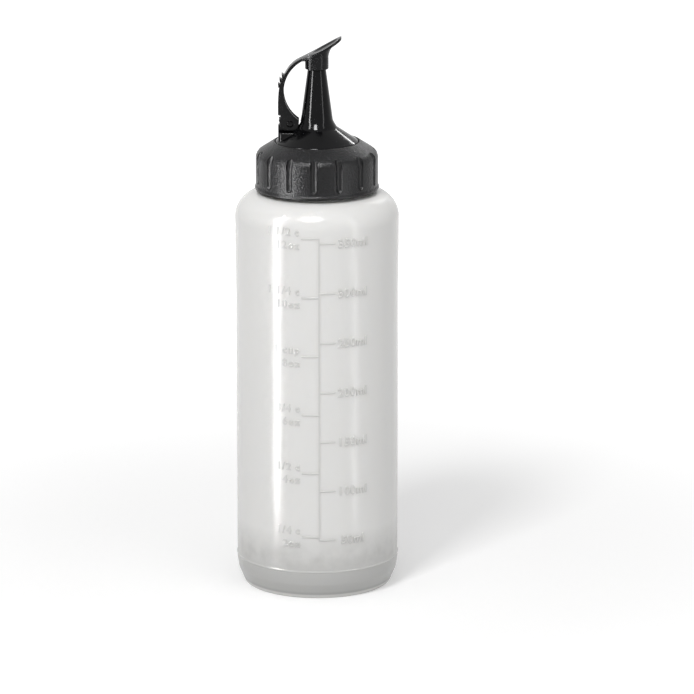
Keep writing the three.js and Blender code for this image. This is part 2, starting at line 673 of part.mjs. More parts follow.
// Thumb plate with the wedge that flares from the cup to it
function thumbPlate() {
  const tops = [];
  const unders = [];
  const steps = 8;
  for (let i = 0; i <= steps; i += 1) {
    const x = PLATE_HEEL_X + ((PLATE_TIP_X - PLATE_HEEL_X) * i) / steps;
    tops.push([x, plateTop(x)]);
    unders.push([x, plateTop(x) - PLATE_THICKNESS]);
  }
  const side = polygon([
    [PLATE_HEEL_X, PLATE_HEEL_Z - PLATE_THICKNESS],
    [-CUP_RADIUS - 0.1, CUP_TOP - 1.0],
    [-CUP_RADIUS, CUP_TOP - 1.6],
    [CUP_RADIUS, CUP_TOP - 1.6],
    [CUP_RADIUS, CUP_TOP],
    [CUP_RADIUS + 0.2, CUP_TOP + 1.8],
    [CUP_RADIUS + 0.55, CUP_TOP + 2.9],
    [CUP_RADIUS + 1.45, CUP_TOP + 4.0],
    [CUP_RADIUS + 2.7, CUP_TOP + 5.3],
    [CUP_RADIUS + 4.2, CUP_TOP + 6.8],
    ...tops.reverse(),
  ]);
  const plateSide = polygon([...unders, ...tops]);
  const half = PLATE_WIDTH / 2;
  const plan = new THREE.Shape();
  plan.moveTo(PLATE_HEEL_X, -leverSide);
  plan.bezierCurveTo(-3.0, -half, 3.5, -half - 0.6, 7.4, -3.4);
  plan.bezierCurveTo(9.7, -1.9, 9.7, 1.9, 7.4, 3.4);
  plan.bezierCurveTo(3.5, half + 0.6, -3.0, half, PLATE_HEEL_X, leverSide);
  const leaf = risenPlan(plan, CUP_BOTTOM, PLATE_TIP_Z + 1, 8);
  const flare = revolve([
    [0, CUP_BOTTOM],
    [CUP_RADIUS, CUP_BOTTOM],
    [CUP_RADIUS, CUP_TOP],
    [CUP_RADIUS + 0.5, CUP_TOP + 1.8],
    [CUP_RADIUS + 1.6, CUP_TOP + 3.6],
    [CUP_RADIUS + 6.5, CUP_TOP + 9.0],
    [0, CUP_TOP + 9.0],
  ], 40);
  const wedge = sidePlate(side, 2 * PLATE_WIDTH).intersect(leaf).intersect(flare);
  return wedge.add(sidePlate(plateSide, 2 * PLATE_WIDTH).intersect(leaf));
}

function cup() {
  return revolve([
    [0, CUP_BOTTOM],
    [CUP_RADIUS - 0.3, CUP_BOTTOM],
    [CUP_RADIUS, CUP_BOTTOM + 0.3],
    [CUP_RADIUS, CUP_TOP - 0.5],
    [0, CUP_TOP - 0.5],
  ], 40);
}

function lever() {
  const barbTips = [
    [ARM_BACK_X, ARM_BACK_TOP + 6.9],
    [ARM_BACK_X + 0.55, ARM_BACK_TOP + 8.9],
    [ARM_BACK_X + 1.35, ARM_BACK_TOP + 10.6],
  ];
  const hollow = upright(CUP_MOUTH_RADIUS, CUP_BOTTOM - 1, CUP_BOTTOM + CUP_DEPTH, 40);
  const plug = upright(PLUG_RADIUS, TIP_TOP + PLUG_GAP, CUP_BOTTOM + CUP_DEPTH + 0.5, 24);
  const arm = sidePlate(armOutline(), LEVER_WIDTH);
  const slot = crossPin(PIVOT_X, PIVOT_Z, FORK_RADIUS, 2 * cheekInside, 64);
  const webInside = ARM_BACK_X + ARM_WEB;
  const channel = block(webInside, PIVOT_X + 8, -cheekInside, cheekInside, PIVOT_Z, CHANNEL_TOP);
  const pinHole = crossPin(PIVOT_X, PIVOT_Z, PIN_RADIUS + RUN_GAP, LEVER_WIDTH + 1, 24);
  const forked = arm.subtract(slot).subtract(channel).subtract(pinHole);
  const closure = thumbPlate().add(cup()).subtract(hollow).add(plug);
  return wasm.Manifold.union([forked, closure, ...barbTips.map(barb)]);
}

const milkyPlastic = new THREE.MeshStandardMaterial({
  color: 0xdcdad6, roughness: 0.35, metalness: 0, transparent: true, opacity: 0.75,
});
const texturedBlack = new THREE.MeshStandardMaterial({ color: 0x1d1d1f, roughness: 0.6, metalness: 0 });
const glossBlack = new THREE.MeshStandardMaterial({ color: 0x141416, roughness: 0.18, metalness: 0 });
const satinBlack = new THREE.MeshStandardMaterial({ color: 0x1b1b1d, roughness: 0.4, metalness: 0 });
const silicone = new THREE.MeshStandardMaterial({ color: 0xd8d8d4, roughness: 0.7, metalness: 0 });

const squeezeBottle = new THREE.Group();
squeezeBottle.add(piece('bottle', bottle(), milkyPlastic));
squeezeBottle.add(piece('collar', collar(), texturedBlack));
squeezeBottle.add(piece('nozzle', nozzle(), glossBlack));
squeezeBottle.add(piece('lever', lever(), satinBlack));
squeezeBottle.add(piece('sealing_ring', sealingRing(), silicone));

export default squeezeBottle;
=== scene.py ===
"""A squeeze bottle with a screw collar, a cone nozzle and a flip-up lever closure."""

import logging
import math
from dataclasses import dataclass
from enum import Enum
from typing import Any, Callable, Sequence

import bpy
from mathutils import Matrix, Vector

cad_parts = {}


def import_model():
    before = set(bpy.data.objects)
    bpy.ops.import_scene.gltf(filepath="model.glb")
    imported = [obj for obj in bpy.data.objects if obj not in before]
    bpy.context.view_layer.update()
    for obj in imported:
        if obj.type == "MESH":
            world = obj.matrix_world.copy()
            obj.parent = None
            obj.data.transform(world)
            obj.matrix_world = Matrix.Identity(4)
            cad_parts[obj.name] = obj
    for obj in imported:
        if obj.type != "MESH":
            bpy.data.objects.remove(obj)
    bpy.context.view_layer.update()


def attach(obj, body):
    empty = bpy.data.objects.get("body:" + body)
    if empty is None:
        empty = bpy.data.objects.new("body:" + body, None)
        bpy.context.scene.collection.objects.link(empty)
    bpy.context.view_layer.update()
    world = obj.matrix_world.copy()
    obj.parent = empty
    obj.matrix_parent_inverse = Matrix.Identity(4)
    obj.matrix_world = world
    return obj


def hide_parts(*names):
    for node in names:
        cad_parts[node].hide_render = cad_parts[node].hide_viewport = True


LOG = logging.getLogger("squeeze_bottle")
MM = 0.001
WELD = 1e-6
THREAD_PITCH = 4.2
THREAD_ROOT = 1.0
THREAD_CREST = 0.45
OUNCE = 29.57
BLACK = (0.0, 0.0, 0.0)
WHITE = (1.0, 1.0, 1.0)
Point = tuple[float, float]
Stop = tuple[float, Sequence[float]]
Test = Callable[[Vector, Vector], bool]
Object = bpy.types.Object
Socket = bpy.types.NodeSocket


class Plane(Enum):
    """The plane that an outline is drawn in."""

    SIDE = "side"
    PLAN = "plan"


class Join(Enum):
    """How one solid acts on another."""

    ADD = "UNION"
    CUT = "DIFFERENCE"
    KEEP = "INTERSECT"


class Body(Enum):
    """The moving bodies of the frame."""

    BOTTLE = "bottle"
    COLLAR = "collar"
    NOZZLE = "nozzle"
    LEVER = "lever"


def arc(centre: Point, radius: float, start: float, end: float, steps: int) -> list[Point]:
    """Points on an arc.

    Args:
        centre: The arc's centre in millimetres.
        radius: Its radius in millimetres.
        start: The first point's direction in degrees.
        end: The last point's direction in degrees.
        steps: The number of parts that the arc is cut into.

    Returns:
        The points in order.
    """
    angles = [math.radians(start + (end - start) * i / steps) for i in range(steps + 1)]
    return [(centre[0] + radius * math.cos(a), centre[1] + radius * math.sin(a)) for a in angles]


def soften(corners: Sequence[Sequence[float]], steps: int = 6) -> list[Point]:
    """Rounds the corners of an outline.

    Args:
        corners: Points, each with a third number where its corner is rounded to that radius.
        steps: The number of parts in each rounding.

    Returns:
        The outline with an arc at each rounded corner.
    """
    path: list[Point] = []
    for index, corner in enumerate(corners):
        here = Vector(corner[:2])
        if len(corner) < 3:
            path.append((here.x, here.y))
            continue
        before = (Vector(corners[index - 1][:2]) - here).normalized()
        after = (Vector(corners[(index + 1) % len(corners)][:2]) - here).normalized()
        half = before.angle(after) / 2
        reach = corner[2] / math.tan(half)
        centre = here + (before + after).normalized() * corner[2] / math.sin(half)
        first = here + before * reach - centre
        last = here + after * reach - centre
        for i in range(steps + 1):
            share = i / steps
            turn = first.normalized().slerp(last.normalized(), share).normalized() * corner[2]
            path.append((centre.x + turn.x, centre.y + turn.y))
    return path


def flowing(points: Sequence[Point], steps: int = 5) -> list[Point]:
    """Draws a smooth curve through points.

    Args:
        points: The points that it passes through.
        steps: The number of parts between two points.

    Returns:
        The curve's points.
    """
    ends = [points[0], *points, points[-1]]
    path: list[Point] = []
    for i in range(1, len(ends) - 2):
        a, b, c, d = (Vector(ends[i + k]) for k in (-1, 0, 1, 2))
        for j in range(steps):
            t = j / steps
            p = b + (c - a) * t / 2 + (a * 2 - b * 5 + c * 4 - d) * t * t / 2
            p += (b * 3 - a - c * 3 + d) * t * t * t / 2
            path.append((p.x, p.y))
    path.append(points[-1])
    return path


class Bench:
    """The tools that every piece is shaped with. Sizes are in millimetres."""

    @staticmethod
    def clear() -> None:
        """Leaves edit mode and deselects every object."""
        if bpy.context.mode != "OBJECT":
            bpy.ops.object.mode_set(mode="OBJECT")
        bpy.ops.object.select_all(action="DESELECT")

    @staticmethod
    def take(name: str) -> Object:
        """Names the new active object and its mesh, and returns it."""
        piece = bpy.context.active_object
        piece.name = name
        piece.data.name = name
        return piece

    @staticmethod
    def choose(piece: Object) -> None:
        """Makes one object the selected and active one."""
        Bench.clear()
        piece.select_set(True)
        bpy.context.view_layer.objects.active = piece

    @staticmethod
    def pick_faces(piece: Object, test: Test) -> None:
        """Selects faces in edit mode by their place.

        Args:
            piece: The object, which is left in edit mode.
            test: Says from a face's centre and normal, in metres, whether it is selected.
        """
        bpy.ops.object.mode_set(mode="EDIT")
        bpy.ops.mesh.select_mode(type="FACE")
        bpy.ops.mesh.select_all(action="DESELECT")
        bpy.ops.object.mode_set(mode="OBJECT")
        for face in piece.data.polygons:
            face.select = test(face.center, face.normal)
        bpy.ops.object.mode_set(mode="EDIT")

    @staticmethod
    def trace(name: str, points: Sequence[Point], closed: bool, plane: Plane) -> Object:
        """Draws an outline by extruding one point after another, and stays in edit mode.

        Args:
            name: The new object's name.
            points: The outline.
            closed: Whether it comes back to its first point.
            plane: The plane that it is drawn in.

        Returns:
            The new object.
        """
        def place(point: Point) -> Vector:
            """Puts a point of the outline into space, in metres."""
            if plane is Plane.SIDE:
                return Vector((point[0], 0.0, point[1])) * MM
            return Vector((point[0], point[1], 0.0)) * MM

        Bench.clear()
        bpy.ops.mesh.primitive_plane_add(size=MM)
        piece = Bench.take(name)
        bpy.ops.object.mode_set(mode="EDIT")
        bpy.ops.mesh.select_mode(type="VERT")
        bpy.ops.mesh.select_all(action="SELECT")
        bpy.ops.mesh.merge(type="CENTER")
        path = [place(point) for point in points]
        if closed:
            path.append(path[0])
        bpy.ops.transform.translate(value=path[0])
        for start, end in zip(path, path[1:]):
            bpy.ops.mesh.extrude_region_move(TRANSFORM_OT_translate={"value": end - start})
        bpy.ops.mesh.select_all(action="SELECT")
        bpy.ops.mesh.remove_doubles(threshold=WELD)
        return piece

    @staticmethod
    def weld(piece: Object) -> None:
        """Merges doubles, turns faces outwards and leaves edit mode."""
        bpy.ops.mesh.select_all(action="SELECT")
        bpy.ops.mesh.remove_doubles(threshold=WELD)
        bpy.ops.mesh.normals_make_consistent(inside=False)
        bpy.ops.object.mode_set(mode="OBJECT")

    @staticmethod
    def turned(name: str, points: Sequence[Point], steps: int, closed: bool = True) -> Object:
        """Spins an outline of radius and height round the Z axis.

        Args:
            name: The new object's name.
            points: The outline.
            steps: The number of flats round it.
            closed: Whether the outline is a ring's section, and not one that ends on the axis.

        Returns:
            The new closed solid.
        """
        piece = Bench.trace(name, points, closed, Plane.SIDE)
        bpy.ops.mesh.spin(
            steps=steps, angle=math.tau, center=(0, 0, 0), axis=(0, 0, 1), use_auto_merge=True
        )
        Bench.weld(piece)
        return piece

    @staticmethod
    def slab(name: str, points: Sequence[Point], width: float, low: float, plane: Plane) -> Object:
        """Fills an outline and pulls it into a slab.

        Args:
            name: The new object's name.
            points: The outline.
            width: The slab's thickness across the outline.
            low: Where the slab starts on the axis across the outline.
            plane: The plane of the outline.

        Returns:
            The new closed solid.
        """
        across = Vector((0, 1, 0)) if plane is Plane.SIDE else Vector((0, 0, 1))
        piece = Bench.trace(name, points, True, plane)
        bpy.ops.mesh.edge_face_add()
        bpy.ops.transform.translate(value=across * low * MM)
        bpy.ops.mesh.extrude_region_move(TRANSFORM_OT_translate={"value": across * width * MM})
        Bench.weld(piece)
        return piece

    @staticmethod
    def block(name: str, low: Sequence[float], high: Sequence[float]) -> Object:
        """Makes a box between two corners."""
        Bench.clear()
        size = [(b - a) * MM for a, b in zip(low, high)]
        middle = [(a + b) / 2 * MM for a, b in zip(low, high)]
        bpy.ops.mesh.primitive_cube_add(size=1, location=middle, scale=size)
        return Bench.settle(Bench.take(name))

    @staticmethod
    def pin(name: str, centre: Point, radius: float, width: float, steps: int = 64) -> Object:
        """Makes a round bar that lies along Y, round a point of the side view."""
        Bench.clear()
        bpy.ops.mesh.primitive_cylinder_add(
            vertices=steps, radius=radius * MM, depth=width * MM,
            location=(centre[0] * MM, 0, centre[1] * MM), rotation=(math.pi / 2, 0, 0),
        )
        return Bench.settle(Bench.take(name))

    @staticmethod
    def settle(piece: Object) -> Object:
        """Moves an object's place, turn and scale into its mesh, and returns it."""
        Bench.choose(piece)
        bpy.ops.object.transform_apply(location=True, rotation=True, scale=True)
        return piece

    @staticmethod
    def copy_turned(piece: Object, angle: float) -> Object:
        """Copies an object with its own mesh and turns the copy round the Z axis, in degrees."""
        twin = piece.copy()
        twin.data = piece.data.copy()
        bpy.context.collection.objects.link(twin)
        twin.rotation_euler = (0, 0, math.radians(angle))
        return Bench.settle(twin)

    @staticmethod
    def gather(pieces: Sequence[Object], name: str) -> Object:
        """Joins objects into the first one and names it."""
        Bench.clear()
        for piece in pieces:
            piece.select_set(True)
        bpy.context.view_layer.objects.active = pieces[0]
        if len(pieces) > 1:
            bpy.ops.object.join()
        return Bench.take(name)

    @staticmethod
    def merge(piece: Object, tool: Object, action: Join) -> None:
        """Applies one solid to another and deletes the first.

        Args:
            piece: The solid that is changed.
            tool: The solid that is used up.
            action: What it does.
        """
        Bench.choose(piece)
        modifier = piece.modifiers.new(action.value, "BOOLEAN")
        modifier.operation = action.value
        modifier.solver = "EXACT"
        modifier.object = tool
        bpy.ops.object.modifier_apply(modifier=modifier.name)
        bpy.data.objects.remove(tool, do_unlink=True)

    @staticmethod
    def ease(piece: Object, width: float, angle: float, segments: int = 3) -> None:
        """Rounds the edges sharper than an angle in degrees."""
        Bench.choose(piece)
        modifier = piece.modifiers.new("ease", "BEVEL")
        modifier.width = width * MM
        modifier.segments = segments
        modifier.limit_method = "ANGLE"
        modifier.angle_limit = math.radians(angle)
        modifier.miter_outer = "MITER_ARC"
        bpy.ops.object.modifier_apply(modifier=modifier.name)

    @staticmethod
    def smooth(piece: Object, angle: float = 32.0) -> None:
        """Shades an object smooth, apart from edges sharper than an angle in degrees."""
        Bench.choose(piece)
        bpy.ops.object.shade_smooth_by_angle(angle=math.radians(angle))


class Board:
    """The nodes of a material or world, with short calls that add and join them."""

    def __init__(self, owner: bpy.types.ID, output: str = "ShaderNodeOutputMaterial") -> None:
        """Clears the nodes and adds the output.

        Args:
            owner: The material or world.
            output: The type of its output node.
        """
        owner.use_nodes = True
        self.owner = owner
        self.tree = owner.node_tree
        self.tree.nodes.clear()
        self.output = self.node(output)

    @staticmethod
    def material(name: str) -> "Board":
        """Starts a new material."""
        return Board(bpy.data.materials.new(name))

    def node(self, kind: str, **values: Any) -> bpy.types.Node:
        """Adds a node and sets its properties.

        Args:
            kind: The node's type.
            values: Its properties by name.

        Returns:
            The new node.
        """
        node = self.tree.nodes.new(kind)
        for key, value in values.items():
            setattr(node, key, value)
        return node

    def join(self, source: Socket, target: Socket) -> None:
        """Links one socket to another."""
        self.tree.links.new(source, target)

    def fill(self, node: bpy.types.Node, **values: Any) -> bpy.types.Node:
        """Sets a node's unlinked inputs, named with _ for each space, and returns the node."""
        for key, value in values.items():
            node.inputs[key.replace("_", " ")].default_value = value
        return node

    def place(self) -> Socket:
        """Returns the object coordinates."""
        return self.node("ShaderNodeTexCoord").outputs["Object"]

    def noise(self, scale: float, detail: float = 2.0) -> Socket:
        """Returns the value of a noise with a scale in cycles for each metre."""
        node = self.fill(self.node("ShaderNodeTexNoise"), Scale=scale, Detail=detail)
        self.join(self.place(), node.inputs["Vector"])
        return node.outputs["Fac"]

    def relief(self, height: Socket, depth: float, under: Any = None) -> Socket:
        """Turns a height into a fine relief.

        Args:
            height: The height, from 0 to 1.
            depth: Its depth in millimetres.
            under: The normal of a coarser relief below it.

        Returns:
            The normal.
        """
        bump = self.fill(self.node("ShaderNodeBump"), Strength=1.0, Distance=depth * MM)
        self.join(height, bump.inputs["Height"])
        if under is not None:
            self.join(under, bump.inputs["Normal"])
        return bump.outputs["Normal"]

    def ramp(self, value: Socket, stops: Sequence[Stop]) -> Socket:
        """Turns a value into a colour by stops of position and colour."""
        node = self.node("ShaderNodeValToRGB")
        elements = node.color_ramp.elements
        while len(elements) < len(stops):
            elements.new(0.5)
        for element, (position, colour) in zip(elements, stops):
            element.position = position
            element.color = (*colour, 1.0)
        self.join(value, node.inputs["Fac"])
        return node.outputs["Color"]


@dataclass(frozen=True)
class BlackPlastic:
    """A moulded black plastic with a fine grain."""

    name: str
    colour: tuple[float, float, float]
    roughness: float
    specular: float
    grain: float
    grain_depth: float
    wave_depth: float = 0.0
    wave_scale: float = 140.0
    cloud_scale: float = 240.0
    cloud_share: float = 0.18

    def material(self) -> bpy.types.Material:
        """Builds the material."""
        board = Board.material(self.name)
        shader = board.fill(
            board.node("ShaderNodeBsdfPrincipled"),
            Roughness=self.roughness, Specular_IOR_Level=self.specular,
        )
        shade = board.ramp(board.noise(self.cloud_scale, 3.0), [
            (0.3, [c * (1 - self.cloud_share) for c in self.colour]),
            (0.7, [c * (1 + self.cloud_share) for c in self.colour]),
        ])
        board.join(shade, shader.inputs["Base Color"])
        wave = board.relief(board.noise(self.wave_scale), self.wave_depth)
        grain = board.relief(board.noise(self.grain, 4.0), self.grain_depth, wave)
        board.join(grain, shader.inputs["Normal"])
        board.join(shader.outputs["BSDF"], board.output.inputs["Surface"])
        return board.owner


@dataclass(frozen=True)
class MilkyPlastic:
    """The soft translucent plastic of the bottle, with painted shade that darkens it towards its foot, and
    mottled there.
    """

    name: str = "milky_plastic"
    colour: tuple[float, float, float] = (0.82, 0.812, 0.79)
    # Painted shade: the darker colour that the foot is painted towards.
    foot_shade_colour: tuple[float, float, float] = (0.5, 0.5, 0.49)
    foot_height: float = 26.0
    roughness: float = 0.23
    depth: float = 0.35
    specular: float = 0.22
    scatter: tuple[float, float, float] = (1.0, 0.95, 0.85)
    scatter_reach: float = 3.0

    def tone(self, share: float) -> list[float]:
        """Returns a colour between the foot's painted-shade colour, at 0, and the body's, at 1."""
        return [a + (b - a) * share for a, b in zip(self.foot_shade_colour, self.colour)]

    def material(self) -> bpy.types.Material:
        """Builds the material."""
        board = Board.material(self.name)
        shader = board.fill(
            board.node("ShaderNodeBsdfPrincipled"),
            Roughness=self.roughness, Specular_IOR_Level=self.specular, Subsurface_Weight=self.depth,
            Subsurface_Radius=self.scatter, Subsurface_Scale=self.scatter_reach * MM,
        )
        split = board.node("ShaderNodeSeparateXYZ")
        board.join(board.place(), split.inputs["Vector"])
        height = board.fill(board.node("ShaderNodeMapRange"), From_Max=self.foot_height * MM)
        board.join(split.outputs["Z"], height.inputs["Value"])
        # Painted shade: the colour darkens from the body's towards the foot, darkest about 2 mm up and a
        # little lighter at the bottom edge.
        shade = board.ramp(height.outputs["Result"], [
            (0.0, self.tone(0.75)),
            (0.045, self.tone(0.6)),
            (0.07, self.tone(-0.25)),
            (0.11, self.tone(0.0)),
            (0.39, self.tone(0.1)),
            (0.45, self.tone(0.3)),
            (1.0, self.tone(1.0)),
        ])
        band = board.ramp(height.outputs["Result"], [
            (0.42, BLACK), (0.5, WHITE), (0.62, WHITE), (0.98, BLACK),
        ])
        cloud = board.ramp(board.noise(210.0, 6.0), [(0.3, (0.88, 0.88, 0.88)), (0.66, WHITE)])
        mottle = board.node("ShaderNodeMix", data_type="RGBA", blend_type="MULTIPLY")
        board.join(band, mottle.inputs["Factor"])
        board.join(shade, mottle.inputs["A"])
        board.join(cloud, mottle.inputs["B"])
        board.join(mottle.outputs["Result"], shader.inputs["Base Color"])
        wave = board.relief(board.noise(45.0), 0.05)
        board.join(board.relief(board.noise(1500.0, 3.0), 0.006, wave), shader.inputs["Normal"])
        board.join(shader.outputs["BSDF"], board.output.inputs["Surface"])
        return board.owner


def dress(piece: Object, finish: Any, body: Body) -> None:
    """Gives a finished piece its material and its body.

    Args:
        piece: The piece.
        finish: The finish, which builds a material.
        body: The body that the piece moves with.
    """
    piece.data.materials.clear()
    piece.data.materials.append(finish.material())
    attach(piece, body.value)
    LOG.info("%s: %d faces", piece.name, len(piece.data.polygons))


@dataclass
class Bottle:
    """The blow-moulded bottle with its neck."""

    radius: float = 30.1
    wall: float = 1.0
    top: float = 149.3
    swell: float = 0.25
    shoulder: float = 9.5
    swell_start: float = 112.0
    ring_radius: float = 27.2
    ring_width: float = 2.6
    push_up: float = 2.4
    neck_radius: float = 19.0
    neck_wall: float = 1.5
    rim: float = 161.0
    ridge: float = 10.9
    ridge_rise: float = 0.25
    thread_depth: float = 1.3
    thread_turns: float = 1.35
    thread_start: float = 153.0

    def outline(self) -> list[Point]:
        """Returns the wall's section from the centre of the base to the rim and back."""
        inner_ring = self.ring_radius - self.ring_width
        full = self.radius + self.swell
        start = self.top - self.shoulder
        inside = self.radius - self.wall
        bore = self.neck_radius - self.neck_wall
        outside = [
            (0, self.push_up),
            *flowing([(inner_ring * 0.5, self.push_up * 0.9), (inner_ring * 0.86, self.push_up * 0.4),
                      (inner_ring, 0.0)]),
            *soften([(inner_ring, 0.0), (self.ring_radius, 0.0, 0.9), (self.radius - 0.5, 5.7, 5.0),
                     (self.radius, 9.4)])[1:],
            *soften([(self.radius, 9.4), (self.radius, self.ridge - 0.5, 0.3),
                     (self.radius + self.ridge_rise, self.ridge, 0.25),
                     (self.radius, self.ridge + 0.5, 0.3), (self.radius, 20.0)])[1:],
            (self.radius, 60.0),
            (self.radius, self.swell_start),
            *flowing([(self.radius + self.swell * 0.25, 119.0), (self.radius + self.swell * 0.75, 130.0),
                      (full, start)])[:-1],
            *arc((full - self.shoulder, start), self.shoulder, 0, 90, 20),
            *soften([(full - self.shoulder, self.top), (self.neck_radius, self.top, 1.0),
                     (self.neck_radius, self.rim, 0.4), (bore, self.rim, 0.4), (bore, self.top)])[1:-1],
        ]
        inner = [
            (bore, self.top),
            (bore + 1.0, self.top - self.wall),
            *arc((full - self.shoulder, start), self.shoulder - self.wall, 90, 0, 12),
            (inside, self.swell_start),
            (inside, 9.0),
            (inside - 0.7, 5.4),
            (inside - 2.4, 3.4),
            (inner_ring, 2.6),
            (inner_ring * 0.7, self.push_up + 1.6),
            (0, self.push_up + 2.2),
        ]
        return [*outside, *inner]

    def thread(self) -> Object:
        """Winds the screw thread round the neck.

        Returns:
            The thread, a closed rib sunk into the neck.
        """
        root = self.neck_radius - 0.3
        crest = self.neck_radius + self.thread_depth
        section = [(root, -THREAD_ROOT), (crest, -THREAD_CREST), (crest, THREAD_CREST), (root, THREAD_ROOT)]
        path = [(r, self.thread_start + z) for r, z in section]
        rib = Bench.trace("neck_thread", path, True, Plane.SIDE)
        bpy.ops.mesh.edge_face_add()
        bpy.ops.object.mode_set(mode="OBJECT")
        return wind(rib, self.thread_turns)

    def build(self) -> None:
        """Makes the wall and the thread and dresses them."""
        shell = Bench.turned("bottle_wall", self.outline(), 144, closed=False)
        Bench.smooth(shell, 40)
        finish = MilkyPlastic()
        dress(shell, finish, Body.BOTTLE)
        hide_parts("bottle")
        rib = self.thread()
        Bench.smooth(rib)
        dress(rib, finish, Body.BOTTLE)


def wind(rib: Object, turns: float, start: float = 0.0) -> Object:
    """Winds a filled section into a screw thread with closed ends.

    Args:
        rib: The section, one face in the side plane.
        turns: The number of turns.
        start: Where it starts round the Z axis, in turns.

    Returns:
        The thread.
    """
    Bench.choose(rib)
    modifier = rib.modifiers.new("wind", "SCREW")
    modifier.angle = math.tau * turns
    modifier.screw_offset = THREAD_PITCH * turns * MM
    modifier.steps = round(64 * turns)
    modifier.render_steps = modifier.steps
    modifier.use_merge_vertices = False
    bpy.ops.object.modifier_apply(modifier=modifier.name)
    bpy.ops.object.mode_set(mode="EDIT")
    bpy.ops.mesh.select_all(action="SELECT")
    bpy.ops.mesh.remove_doubles(threshold=WELD)
    bpy.ops.mesh.select_all(action="DESELECT")
    bpy.ops.mesh.select_non_manifold(extend=False)
    bpy.ops.mesh.edge_face_add()
    Bench.weld(rib)
    rib.rotation_euler = (0, 0, math.tau * start)
    return Bench.settle(rib)


@dataclass
class Graduations:
    """The raised volume marks with their numerals."""

    radius: float = 30.1
    swell: float = 0.25
    swell_start: float = 112.0
    swell_end: float = 139.8
    angle: float = 1.6
    rise: float = 0.33
    sink: float = 0.15
    line: float = 0.5
    first: float = 23.3
    millilitre: float = 0.3759
    ml_length: float = 6.1
    ounce_length: float = 6.5
    first_ounce: float = 24.5
    digit_size: float = 4.6
    small_size: float = 4.0
    type_bevel: float = 0.09
    ml_column: float = 12.9
    ounce_column: float = -7.2
    line_gap: float = 2.5

    def level(self, millilitres: float) -> float:
        """Returns the height of a volume's level."""
        return self.first + (millilitres - 50) * self.millilitre

    def proud(self, height: float) -> float:
        """Returns how far the body stands out past its radius at a height."""
        share = (height - self.swell_start) / (self.swell_end - self.swell_start)
        return self.swell * max(0.0, min(1.0, share))

    def bar(self, low_x: float, high_x: float, height: float) -> Object:
        """Makes one straight mark, flat in front of the bottle."""
        half = self.line / 2
        out = self.proud(height)
        tick = Bench.block("mark", (low_x, -out - self.rise, height - half),
                           (high_x, -out + self.sink, height + half))
        Bench.ease(tick, 0.12, 60, 2)
        return tick

    def numeral(self, words: str, x: float, height: float, size: float, align: str) -> Object:
        """Makes one line of raised numerals, flat in front of the bottle.

        Args:
            words: What it says.
            x: Where it is held, along the body from the scale line.
            height: The middle of its digits.
            size: The size of the type.
            align: LEFT, CENTER or RIGHT.

        Returns:
            The numerals as a mesh.
        """
        Bench.clear()
        bpy.ops.object.text_add(rotation=(math.pi / 2, 0, 0))
        text = bpy.context.active_object
        text.data.body = words
        text.data.size = size * MM
        text.data.align_x = align
        text.data.space_character = 1.22 if align == "RIGHT" else 1.06
        text.data.space_word = 0.62
        text.data.resolution_u = 5
        text.data.offset = 0.03 * MM
        text.data.extrude = ((self.rise + self.sink) / 2 - self.type_bevel) * MM
        text.data.bevel_depth = self.type_bevel * MM
        text.data.bevel_resolution = 1
        text.location = (x * MM, -(self.proud(height) + (self.rise - self.sink) / 2) * MM,
                         (height - 0.36 * size) * MM)
        bpy.ops.object.convert(target="MESH")
        return Bench.settle(Bench.take("numeral"))

    def bars(self) -> list[Object]:
        """Makes every straight mark."""
        made = [self.bar(0, self.ml_length, self.level(ml)) for ml in range(50, 351, 50)]
        ounces = [self.first_ounce] + [self.level(OUNCE * oz) for oz in (4, 6, 8, 10, 12)]
        made += [self.bar(-self.ounce_length, 0, height) for height in ounces]
        half = self.line / 2
        top = self.level(OUNCE * 12) + half
        stem = Bench.block("stem", (-half, -self.rise, self.first - half),
                           (half, self.sink, self.swell_start))
        Bench.pick_faces(stem, lambda centre, normal: normal.z > 0.5)
        for low, high in ((self.swell_start, 124.0), (124.0, top)):
            step = (0, (self.proud(low) - self.proud(high)) * MM, (high - low) * MM)
            bpy.ops.mesh.extrude_region_move(TRANSFORM_OT_translate={"value": step})
        bpy.ops.object.mode_set(mode="OBJECT")
        return [*made, stem]

    def numerals(self) -> list[Object]:
        """Makes every numeral."""
        made = []
        for ml in range(50, 351, 50):
            made.append(self.numeral(f"{ml}ml", self.ml_column, self.level(ml), self.digit_size, "CENTER"))
        labels = [("1/4 c", "2oz"), ("1/2 c", "4oz"), ("3/4 c", "6oz"), ("1 cup", "8oz"),
                  ("1 1/4 c", "10oz"), ("1 1/2 c", "12oz")]
        for index, (upper, lower) in enumerate(labels):
            height = self.level(OUNCE * 2 * (index + 1)) if index else self.first_ounce
            for words, line in ((upper, height + self.line_gap), (lower, height - self.line_gap)):
                made.append(self.numeral(words, self.ounce_column, line, self.small_size, "RIGHT"))
        return made

    def build(self) -> None:
        """Bends the flat marks round the bottle and dresses them."""
        bars = Bench.gather(self.bars(), "bars")
        bpy.ops.object.mode_set(mode="EDIT")
        for step in range(-6, 7):
            bpy.ops.mesh.select_all(action="SELECT")
            bpy.ops.mesh.bisect(plane_co=((step + 0.5) * MM, 0, 0), plane_no=(1, 0, 0))
        bpy.ops.object.mode_set(mode="OBJECT")
        marks = Bench.gather([bars, *self.numerals()], "graduations")
        bpy.ops.object.mode_set(mode="EDIT")
        Bench.weld(marks)
        across = [vertex.co.x for vertex in marks.data.vertices]
        bend = marks.modifiers.new("bend", "SIMPLE_DEFORM")
        bend.deform_method = "BEND"
        bend.deform_axis = "Z"
        bend.angle = (max(across) - min(across)) / (self.radius * MM)
        bpy.ops.object.modifier_apply(modifier=bend.name)
        marks.location = (0, -self.radius * MM, 0)
        Bench.settle(marks)
        marks.rotation_euler = (0, 0, math.radians(self.angle))
        Bench.settle(marks)
        Bench.smooth(marks)
